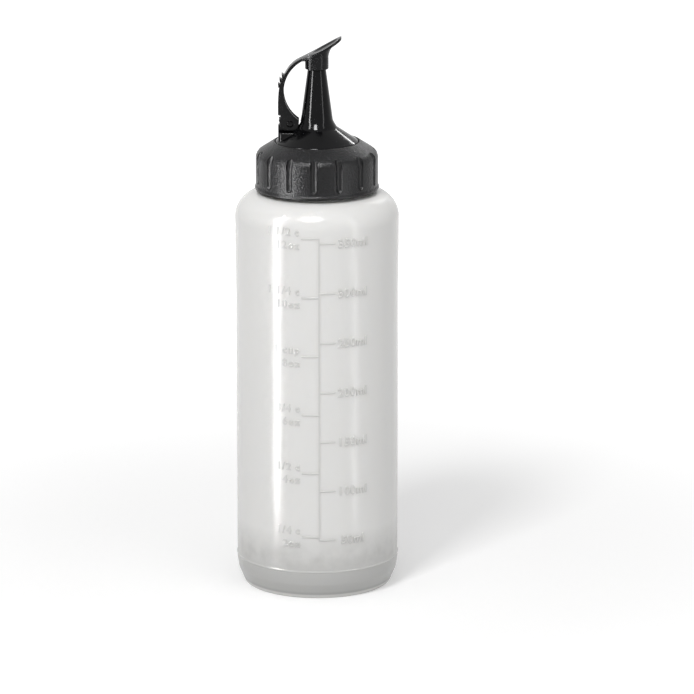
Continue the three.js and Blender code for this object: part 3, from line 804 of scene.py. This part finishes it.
        # Painted shade: the marks are coloured darker than the body, with a darker foot as well, standing
        # in for the shade along their raised edges.
        shaded_marks = MilkyPlastic("milky_marks", (0.68, 0.675, 0.66), (0.44, 0.44, 0.43),
                                roughness=0.3, depth=0.0)
        dress(marks, shaded_marks, Body.BOTTLE)


@dataclass
class Collar:
    """The ribbed screw collar."""

    bottom: float = 150.4
    radius: float = 22.6
    flare: float = 0.35
    knee: float = 163.9
    knee_round: float = 3.4
    inner: float = 20.85
    web: float = 163.9
    hole: float = 15.6
    grooves: int = 15
    groove_start: float = -92.4
    groove_width: float = 2.5
    groove_depth: float = 0.75
    groove_foot: float = 3.65
    groove_bend: float = 10.4
    lean_rise: float = 3.9
    lean_reach: float = 1.2
    lip: float = 16.2
    lip_low: float = 165.7
    top: float = 168.2
    web_round: float = 1.9
    thread_crest: float = 19.45
    thread_start: float = 151.688
    thread_turns: float = 1.2
    thread_lead: float = 0.14

    def outline(self) -> list[Point]:
        """Returns the collar's section."""
        low = self.bottom
        wide = self.radius + self.flare
        return soften([
            (self.inner, low, 0.4),
            (wide, low, 0.5),
            (wide, low + 0.9, 0.6),
            (self.radius, low + 1.6, 0.8),
            (self.radius, self.knee, self.knee_round),
            (self.lip - 0.2, self.top, 0.3),
            (self.hole, self.top - 0.1, 0.15),
            (self.hole, self.lip_low),
            (self.lip, self.lip_low),
            (self.lip, self.web),
            (self.inner - self.web_round, self.web),
            (self.inner, self.web - self.web_round),
        ])

    def cutter(self) -> Object:
        """Makes the round-ended cutter of one groove, on the X axis."""
        half = self.groove_width / 2
        radius = (half * half + self.groove_depth ** 2) / (2 * self.groove_depth)
        face = self.radius + radius - self.groove_depth
        foot = self.bottom + self.groove_foot
        Bench.clear()
        bpy.ops.mesh.primitive_uv_sphere_add(
            segments=48, ring_count=24, radius=radius * MM, location=(face * MM, 0, foot * MM)
        )
        ball = Bench.settle(Bench.take("groove_cutter"))
        Bench.pick_faces(ball, lambda centre, normal: centre.z > foot * MM)
        rise = self.groove_bend - self.groove_foot
        for step in ((0, 0, rise), (-self.lean_reach, 0, self.lean_rise)):
            bpy.ops.mesh.extrude_region_move(TRANSFORM_OT_translate={"value": Vector(step) * MM})
        Bench.weld(ball)
        return ball

    def thread(self) -> Object:
        """Winds the screw thread inside the collar."""
        root = self.inner + 0.3
        crest, middle = self.thread_crest, self.thread_start
        path = [(root, middle - THREAD_ROOT), (root, middle + THREAD_ROOT),
                (crest, middle + THREAD_CREST), (crest, middle - THREAD_CREST)]
        rib = Bench.trace("collar_thread", path, True, Plane.SIDE)
        bpy.ops.mesh.edge_face_add()
        bpy.ops.object.mode_set(mode="OBJECT")
        return wind(rib, self.thread_turns, self.thread_lead)

    def build(self) -> None:
        """Makes the collar and cuts its grooves."""
        shell = Bench.turned("collar_shell", self.outline(), 180)
        cutter = self.cutter()
        cutters = [
            Bench.copy_turned(cutter, self.groove_start + 360 * i / self.grooves)
            for i in range(self.grooves)
        ]
        bpy.data.objects.remove(cutter, do_unlink=True)
        Bench.merge(shell, Bench.gather(cutters, "groove_cutters"), Join.CUT)
        Bench.smooth(shell, 34)
        finish = BlackPlastic("textured_black", (0.006, 0.006, 0.0065), 0.33, 0.22, 1300.0, 0.22)
        dress(shell, finish, Body.COLLAR)
        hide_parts("collar")
        rib = self.thread()
        Bench.smooth(rib)
        dress(rib, finish, Body.COLLAR)


@dataclass
class Nozzle:
    """The cone nozzle with its skirt, hinge post, pedestal and pins."""

    flange_bottom: float = 162.6
    flange_radius: float = 18.8
    sleeve: float = 15.3
    skirt: float = 168.1
    slope: float = 0.68
    skirt_wall: float = 2.4
    pivot_x: float = -9.9
    pivot_z: float = 174.9
    fin_x: float = -14.25
    fin_thickness: float = 1.1
    fin_top: float = 174.5
    pedestal_half: float = 5.0
    pedestal_top: float = 171.9
    lever_half: float = 2.7
    gap: float = 0.3
    bore: float = 13.9
    bore_top: float = 165.9
    head: float = 2.4
    cheek_room: float = 4.0
    heel_room: float = 4.75

    def outline(self) -> list[Point]:
        """Returns the section of the turned body."""
        return soften([
            (self.bore, self.flange_bottom, 0.2),
            (self.flange_radius, self.flange_bottom, 0.2),
            (self.flange_radius, self.flange_bottom + 1.0, 0.2),
            (self.sleeve, self.flange_bottom + 1.0),
            (self.sleeve, 165.1),
            (self.sleeve + 0.6, 165.4, 0.15),
            (self.sleeve + 0.6, 165.8, 0.15),
            (self.sleeve, 166.1),
            (self.sleeve, self.skirt, 0.45),
            (7.4, 173.4, 2.6),
            (5.95, 175.9, 4.0),
            (3.36, 195.0, 1.2),
            (2.6, 195.95, 0.5),
            (1.7, 196.2, 0.15),
            (1.0, 196.2, 0.15),
            (1.0, 194.4),
            (2.21, 193.2),
            (4.45, 175.2),
            (6.35, 171.0),
            (self.bore, self.bore_top),
        ], 8)

    def pedestal(self) -> Object:
        """Makes the low block that the hinge stands on, with its trough."""
        half = self.pedestal_half
        plan = soften([
            (-7.6, -half), (-7.6, half), (self.fin_x, half, 1.5), (self.fin_x, -half, 1.5),
        ], 10)
        low = self.skirt - 0.72
        block = Bench.slab("pedestal", plan, self.pedestal_top - low, low, Plane.PLAN)
        Bench.ease(block, 0.25, 60)
        side = self.lever_half + self.gap
        trough = Bench.block("trough", (self.fin_x - 2, -side, self.skirt - self.skirt_wall),
                             (self.pivot_x, side, self.pedestal_top + 1))
        reach = self.sleeve + 1
        edge = self.skirt - self.slope
        core = Bench.turned("core", [
            (0, 150), (reach, 150), (reach, edge), (0, edge + reach * self.slope),
        ], 96, closed=False)
        Bench.merge(trough, core, Join.CUT)
        Bench.merge(block, trough, Join.CUT)
        return block

    def pocket(self) -> list[Object]:
        """Makes the two cutters for the room that the lever's cheeks and heel swing in."""
        centre = (self.pivot_x, self.pivot_z)
        width = 2 * (self.lever_half + self.gap)
        cheeks = Bench.pin("cheek_room", centre, self.cheek_room, width, 96)
        heel = Bench.pin("heel_room", centre, self.heel_room, width + 0.02, 96)
        behind = Bench.block("behind", (self.fin_x - 5, -width, self.pivot_z - 10),
                             (self.pivot_x + self.gap, width, self.pivot_z + 10))
        Bench.merge(heel, behind, Join.KEEP)
        return [cheeks, heel]

    def post(self) -> Object:
        """Makes the plate between the lever's cheeks, with its round head and back fin."""
        fin_inner = self.fin_x + self.fin_thickness
        outline = [
            (self.fin_x, self.skirt - 0.96),
            (self.pivot_x + self.head, 172.1),
            *arc((self.pivot_x, self.pivot_z), self.head, 0, 160, 24),
            (fin_inner + 0.3, self.fin_top - 0.1),
            (fin_inner, self.fin_top),
            (self.fin_x + 0.3, self.fin_top),
            (self.fin_x, self.fin_top - 0.3),
        ]
        plate = Bench.slab("post", outline, 2.6, -1.3, Plane.SIDE)
        cavity = Bench.turned("cavity", [
            (0, 160), (self.bore, 160), (self.bore, self.bore_top), (0, 173.4),
        ], 96, closed=False)
        Bench.merge(plate, cavity, Join.CUT)
        return plate

    def build(self) -> None:
        """Makes the nozzle in one piece and dresses it."""
        shell = Bench.turned("nozzle_shell", self.outline(), 160)
        Bench.merge(shell, self.pedestal(), Join.ADD)
        for cutter in self.pocket():
            Bench.merge(shell, cutter, Join.CUT)
        Bench.merge(shell, self.post(), Join.ADD)
        pins = Bench.pin("pins", (self.pivot_x, self.pivot_z), 1.0, 2 * self.lever_half - 0.3, 48)
        Bench.ease(pins, 0.15, 60)
        Bench.merge(shell, pins, Join.ADD)
        Bench.smooth(shell, 30)
        finish = BlackPlastic("gloss_black", (0.003, 0.003, 0.0035), 0.12, 0.13, 900.0, 0.0005,
                              wave_depth=0.0015)
        dress(shell, finish, Body.NOZZLE)
        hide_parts("nozzle")


@dataclass
class SealingRing:
    """The flat ring that seals the neck."""

    inner: float = 16.4
    outer: float = 18.6
    low: float = 161.3
    high: float = 162.3

    def build(self) -> None:
        """Makes the ring with rounded edges."""
        ring = Bench.turned("seal", soften([
            (self.inner, self.low, 0.25), (self.outer, self.low, 0.25),
            (self.outer, self.high, 0.25), (self.inner, self.high, 0.25),
        ], 4), 96)
        Bench.smooth(ring, 40)
        finish = BlackPlastic("silicone", (0.62, 0.62, 0.6), 0.6, 0.3, 1800.0, 0.004)
        dress(ring, finish, Body.NOZZLE)
        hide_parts("sealing_ring")


@dataclass
class Lever:
    """The one-piece flip-up lever with its cup and thumb plate."""

    pivot_x: float = -9.9
    pivot_z: float = 174.9
    half: float = 2.7
    inside: float = 1.6
    back: float = -14.3
    web: float = 1.3
    heel: Point = (-5.3, 199.4)
    tip: Point = (9.1, 207.2)
    sag: float = 0.5
    thickness: float = 1.1
    cup_radius: float = 4.35
    cup_bottom: float = 195.2
    cup_bore: float = 3.85
    plug_radius: float = 1.6
    plug_low: float = 196.5
    barbs: tuple[Point, ...] = ((-14.3, 189.9), (-13.75, 191.9), (-12.95, 193.6))
    dish_size: tuple[float, float, float] = (6.0, 3.9, 1.6)
    dish_middle: float = 2.6
    dish_lift: float = 1.1

    def plate_top(self, x: float) -> float:
        """Returns the height of the thumb plate's top at a place along the lever."""
        share = (x - self.heel[0]) / (self.tip[0] - self.heel[0])
        straight = self.heel[1] + (self.tip[1] - self.heel[1]) * share
        return straight - self.sag * 4 * share * (1 - share)

    def along(self, start: float, end: float, drop: float, steps: int = 18) -> list[Point]:
        """Returns points that follow the plate's top from one place to another, dropped a little."""
        places = [start + (end - start) * i / steps for i in range(steps + 1)]
        return [(x, self.plate_top(x) - drop) for x in places]

    def arm(self) -> Object:
        """Makes the strap, the channel below it and the two cheeks."""
        x, z = self.pivot_x, self.pivot_z
        low = z - 2.6
        tooth = arc((x, z), 4.45, 159.5, 160, 1)[0]
        outer = flowing([
            (self.back, 183.0), (self.back + 0.2, 186.3), (-13.75, 188.6), (-12.9, 191.3),
            (-11.0, 194.7), (-9.5, 196.6), (-7.65, 198.15), self.heel,
        ], 6)
        cheeks = soften([
            (x + 3.4, z + 1.0, 0.3), (x + 3.2, z - 0.3, 1.0), (x + 2.8, z - 1.7, 1.0), (x + 1.8, low, 0.6),
            (x - 2.1, low, 0.4), (x - 3.5, z - 0.9, 0.6), (x - 3.7, z + 0.1, 0.3),
            (*tooth, 0.1), (tooth[0] + 0.7, tooth[1] + 0.35), (tooth[0] + 0.75, 178.0),
            (self.back + 0.15, 178.2),
        ], 4)
        outline = [
            (self.back, 178.5), *outer, (-2.5, self.plate_top(-2.5) - 0.1), (-2.5, 198.4),
            *arc((0.85, 187.0), 13.0, 119, 235.5, 40), *cheeks,
        ]
        arm = Bench.slab("lever", outline, 2 * self.half, -self.half, Plane.SIDE)
        Bench.ease(arm, 0.22, 62)
        Bench.merge(arm, Bench.pin("fork", (x, z), 6.8, 2 * self.inside, 128), Join.CUT)
        channel = Bench.block("channel", (self.back + self.web, -self.inside, z),
                              (x + 8, self.inside, 188.2))
        Bench.merge(arm, channel, Join.CUT)
        Bench.merge(arm, Bench.pin("pin_hole", (x, z), 1.3, 2 * self.half + 1, 48), Join.CUT)
        return arm

    def barb(self, x: float, z: float) -> Object:
        """Makes one grip barb on the arm's back."""
        return Bench.slab("barb", [
            (x, z), (x + 0.15, z - 1.5), (x + 1.6, z - 1.5), (x + 1.8, z - 0.5), (x + 0.8, z - 0.6),
        ], 4.0, -2.0, Plane.SIDE)

    def leaf(self, name: str, shrink: float) -> Object:
        """Makes a tall prism with the thumb plate's outline from above.

        Args:
            name: The new object's name.
            shrink: How far the outline is drawn in, in millimetres.

        Returns:
            The prism.
        """
        right = flowing([
            (self.heel[0] - 0.6, 2.5 - shrink), (-3.6, 3.35 - shrink), (-1.6, 4.15 - shrink),
            (1.2, 4.75 - shrink), (3.6, 4.75 - shrink), (5.8, 4.2 - shrink), (7.6, 3.2 - shrink),
            (8.75, 1.8 - shrink / 2), (9.1 - shrink, 0.0),
        ], 5)
        left = [(x, -y) for x, y in reversed(right[:-1])]
        return Bench.slab(name, [*right, *left], 14.0, self.cup_bottom, Plane.PLAN)

    def plate(self) -> Object:
        """Makes the thin dished thumb plate."""
        x0, x1 = self.heel[0], self.tip[0]
        side = [*self.along(x0, x1, 0.0), *reversed(self.along(x0, x1, self.thickness))]
        plate = Bench.slab("plate", side, 14.0, -7.0, Plane.SIDE)
        Bench.merge(plate, self.leaf("leaf", 0.0), Join.KEEP)
        Bench.ease(plate, 0.3, 50)
        Bench.clear()
        bpy.ops.mesh.primitive_uv_sphere_add(segments=96, ring_count=48, radius=1)
        dish = Bench.take("dish")
        slope = math.atan2(self.tip[1] - self.heel[1], self.tip[0] - self.heel[0])
        dish.scale = [size * MM for size in self.dish_size]
        dish.rotation_euler = (0, -slope, 0)
        dish.location = (self.dish_middle * MM, 0, (self.plate_top(self.dish_middle) + self.dish_lift) * MM)
        Bench.settle(dish)
        Bench.merge(plate, dish, Join.CUT)
        return plate

    def flare(self) -> Object:
        """Makes the cup and the hollow-sided neck that widens from it to the plate."""
        r = self.cup_radius
        wide = [(r, 199.0), (r, 199.9), (r + 0.35, 201.3), (r + 1.2, 202.9), (r + 2.9, 205.2),
                (r + 5.4, 208.0)]
        profile = [(0, self.cup_bottom), *soften([
            (0, self.cup_bottom), (r, self.cup_bottom, 0.3), (r, 199.0)])[1:],
            *flowing(wide, 6)[1:], (0, 208.0)]
        cone = Bench.turned("flare", profile, 96, closed=False)
        side = [
            (-r - 1.4, self.cup_bottom - 1), (r + 0.5, self.cup_bottom - 1), (r + 0.5, 200.6),
            *flowing([(4.7, 201.4), (5.0, 202.5), (5.8, 203.6), (7.05, 204.9), (8.45, 206.3)], 5),
            *reversed(self.along(self.heel[0] - 0.4, 8.45, 0.5)),
        ]
        Bench.merge(cone, Bench.slab("flare_side", side, 16.0, -8.0, Plane.SIDE), Join.KEEP)
        Bench.merge(cone, self.leaf("flare_leaf", 0.45), Join.KEEP)
        return cone

    def build(self) -> None:
        """Makes the lever in one piece and dresses it."""
        lever = self.arm()
        for tip in self.barbs:
            Bench.merge(lever, self.barb(*tip), Join.ADD)
        Bench.merge(lever, self.flare(), Join.ADD)
        Bench.merge(lever, self.plate(), Join.ADD)
        for name, radius, low, high, action in (
            ("hollow", self.cup_bore, self.cup_bottom - 1, self.cup_bottom + 2.6, Join.CUT),
            ("plug", self.plug_radius, self.plug_low, self.cup_bottom + 3.1, Join.ADD),
        ):
            Bench.clear()
            bpy.ops.mesh.primitive_cylinder_add(
                vertices=64, radius=radius * MM, depth=(high - low) * MM,
                location=(0, 0, (low + high) / 2 * MM),
            )
            Bench.merge(lever, Bench.settle(Bench.take(name)), action)
        Bench.smooth(lever, 32)
        finish = BlackPlastic("satin_black", (0.005, 0.005, 0.0055), 0.22, 0.13, 1600.0, 0.003,
                              wave_depth=0.004)
        dress(lever, finish, Body.LEVER)
        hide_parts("lever")


@dataclass
class Studio:
    """The floor, the lamps, the surroundings and the camera."""

    aim: tuple[float, float, float] = (11.1, 0.0, 89.56)
    distance: float = 1863.6
    elevation: float = 14.4
    lens: float = 259.36
    floor_colour: float = 0.8
    floor_glow: float = 0.27
    far_glow: float = 0.75
    glow_start: float = 0.08
    glow_end: float = 0.5
    world_light: float = 0.46
    key_power: float = 4.7
    front_power: float = 1.0
    top_power: float = 1.0
    fill_power: float = 1.0
    strip_glow: float = 50.0
    strip_reach: float = 0.13
    strip_top: float = 0.3
    card_reach: float = 1.1

    def seen(self, board: Board) -> Socket:
        """Returns 1 for rays from the camera and for reflected and transmitted ones, and 0 for others."""
        path = board.node("ShaderNodeLightPath")
        total: Socket = path.outputs["Is Camera Ray"]
        for name in ("Is Glossy Ray", "Is Transmission Ray"):
            add = board.node("ShaderNodeMath", operation="MAXIMUM")
            board.join(total, add.inputs[0])
            board.join(path.outputs[name], add.inputs[1])
            total = add.outputs["Value"]
        return total

    def floor(self) -> None:
        """Lays the pale floor."""
        Bench.clear()
        bpy.ops.mesh.primitive_plane_add(size=12)
        ground = Bench.take("floor")
        board = Board.material("floor")
        matte = board.fill(board.node("ShaderNodeBsdfDiffuse"), Color=(*[self.floor_colour] * 3, 1))
        glow = board.node("ShaderNodeEmission")
        reach = board.node("ShaderNodeVectorMath", operation="LENGTH")
        board.join(board.place(), reach.inputs[0])
        spread = board.fill(
            board.node("ShaderNodeMapRange", interpolation_type="SMOOTHSTEP"),
            From_Min=self.glow_start, From_Max=self.glow_end, To_Min=self.floor_glow, To_Max=self.far_glow,
        )
        board.join(reach.outputs["Value"], spread.inputs["Value"])
        strength = board.node("ShaderNodeMath", operation="MULTIPLY")
        board.join(self.seen(board), strength.inputs[0])
        board.join(spread.outputs["Result"], strength.inputs[1])
        board.join(strength.outputs["Value"], glow.inputs["Strength"])
        both = board.node("ShaderNodeAddShader")
        board.join(matte.outputs["BSDF"], both.inputs[0])
        board.join(glow.outputs["Emission"], both.inputs[1])
        board.join(both.outputs["Shader"], board.output.inputs["Surface"])
        ground.data.materials.append(board.owner)

    def surroundings(self) -> None:
        """Sets the soft light from all round and the white background."""
        world = bpy.data.worlds.new("studio")
        bpy.context.scene.world = world
        board = Board(world, "ShaderNodeOutputWorld")
        light = board.fill(board.node("ShaderNodeMapRange"), To_Min=self.world_light, To_Max=1.0)
        board.join(self.seen(board), light.inputs["Value"])
        back = board.fill(board.node("ShaderNodeBackground"), Color=(*WHITE, 1.0))
        board.join(light.outputs["Result"], back.inputs["Strength"])
        board.join(back.outputs["Background"], board.output.inputs["Surface"])

    def lamp(self, name: str, place: Sequence[float], size: float, power: float) -> None:
        """Hangs a square lamp that faces the object.

        Args:
            name: The lamp's name.
            place: Where it hangs, in metres.
            size: The length of its side in metres.
            power: Its power in watts.
        """
        data = bpy.data.lights.new(name, "AREA")
        data.size = size
        data.energy = power
        lamp = bpy.data.objects.new(name, data)
        bpy.context.collection.objects.link(lamp)
        lamp.visible_glossy = False
        lamp.location = place
        lamp.rotation_euler = (Vector((0, 0, 0.09)) - Vector(place)).to_track_quat("-Z", "Y").to_euler()

    def card(self, name: str, place: Vector, turn: Sequence[float], size: Point, glow: float) -> None:
        """Hangs a card that only reflections see.

        Args:
            name: The card's name.
            place: Its middle, in metres.
            turn: Its turn about the axes, in radians.
            size: Its width and height in metres.
            glow: Its brightness.
        """
        Bench.clear()
        bpy.ops.mesh.primitive_plane_add(size=1, location=place, rotation=turn)
        card = Bench.take(name)
        card.scale = (*size, 1)
        board = Board.material(name)
        light = board.fill(board.node("ShaderNodeEmission"), Strength=glow)
        board.join(light.outputs["Emission"], board.output.inputs["Surface"])
        board.owner.cycles.emission_sampling = "NONE"
        card.data.materials.append(board.owner)
        card.visible_camera = False
        card.visible_diffuse = False
        card.visible_shadow = False
        card.visible_transmission = False

    def upright(self, name: str, azimuth: float, width: float, glow: float) -> None:
        """Stands a card on the floor beside the object.

        Args:
            name: The card's name.
            azimuth: Its direction from the front, in degrees, to the right.
            width: Its width in metres.
            glow: Its brightness.
        """
        turn = math.radians(azimuth)
        across = Vector((math.sin(turn), -math.cos(turn), 0)) * self.strip_reach
        middle = across + Vector((0, 0, self.strip_top / 2))
        self.card(name, middle, (math.pi / 2, 0, turn), (width, self.strip_top), glow)

    def lifted(
        self, name: str, azimuth: float, elevation: float, size: Point, glow: float
    ) -> None:
        """Hangs a card above or behind the closure, facing it.

        Args:
            name: The card's name.
            azimuth: Its direction from the front, in degrees, to the right.
            elevation: Its height above the closure, in degrees.
            size: Its width and height in metres.
            glow: Its brightness.
        """
        turn, rise = math.radians(azimuth), math.radians(elevation)
        away = Vector((math.sin(turn) * math.cos(rise), -math.cos(turn) * math.cos(rise), math.sin(rise)))
        place = Vector((0, 0, 0.17)) + away * self.card_reach
        self.card(name, place, away.to_track_quat("Z", "Y").to_euler(), size, glow)

    def camera(self) -> None:
        """Sets the camera at the photograph's viewing angle."""
        tilt = math.radians(self.elevation)
        data = bpy.data.cameras.new("camera")
        data.lens = self.lens
        data.sensor_width = 36.0
        data.clip_end = 50.0
        camera = bpy.data.objects.new("camera", data)
        bpy.context.collection.objects.link(camera)
        back = Vector((0, -math.cos(tilt), math.sin(tilt))) * self.distance
        camera.location = (Vector(self.aim) + back) * MM
        camera.rotation_euler = (math.pi / 2 - tilt, 0, 0)
        bpy.context.scene.camera = camera

    def build(self) -> None:
        """Sets everything up."""
        bpy.context.scene.view_settings.view_transform = "Standard"
        self.floor()
        self.surroundings()
        self.lamp("key", (-0.3, -0.62, 0.92), 0.22, self.key_power)
        self.lamp("front", (-0.1, -1.0, 0.62), 0.28, self.front_power)
        self.lamp("top", (0.05, -0.15, 1.2), 0.5, self.top_power)
        self.lamp("fill", (0.75, -0.75, 0.55), 0.8, self.fill_power)
        self.upright("left_strip", -52.0, 0.016, self.strip_glow)
        self.upright("right_strip", 49.0, 0.013, self.strip_glow * 0.2)
        self.lifted("high_card", -10.0, 51.0, (0.26, 0.36), self.strip_glow * 1.3)
        self.lifted("back_card", 150.0, 30.0, (0.035, 0.3), self.strip_glow * 0.6)
        self.camera()


def main() -> None:
    """Loads the frame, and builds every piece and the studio."""
    logging.basicConfig(level=logging.INFO)
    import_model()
    for part in (Bottle(), Graduations(), Collar(), Nozzle(), SealingRing(), Lever()):
        part.build()
    Studio().build()
    Bench.clear()


if __name__ == "__main__":
    main()
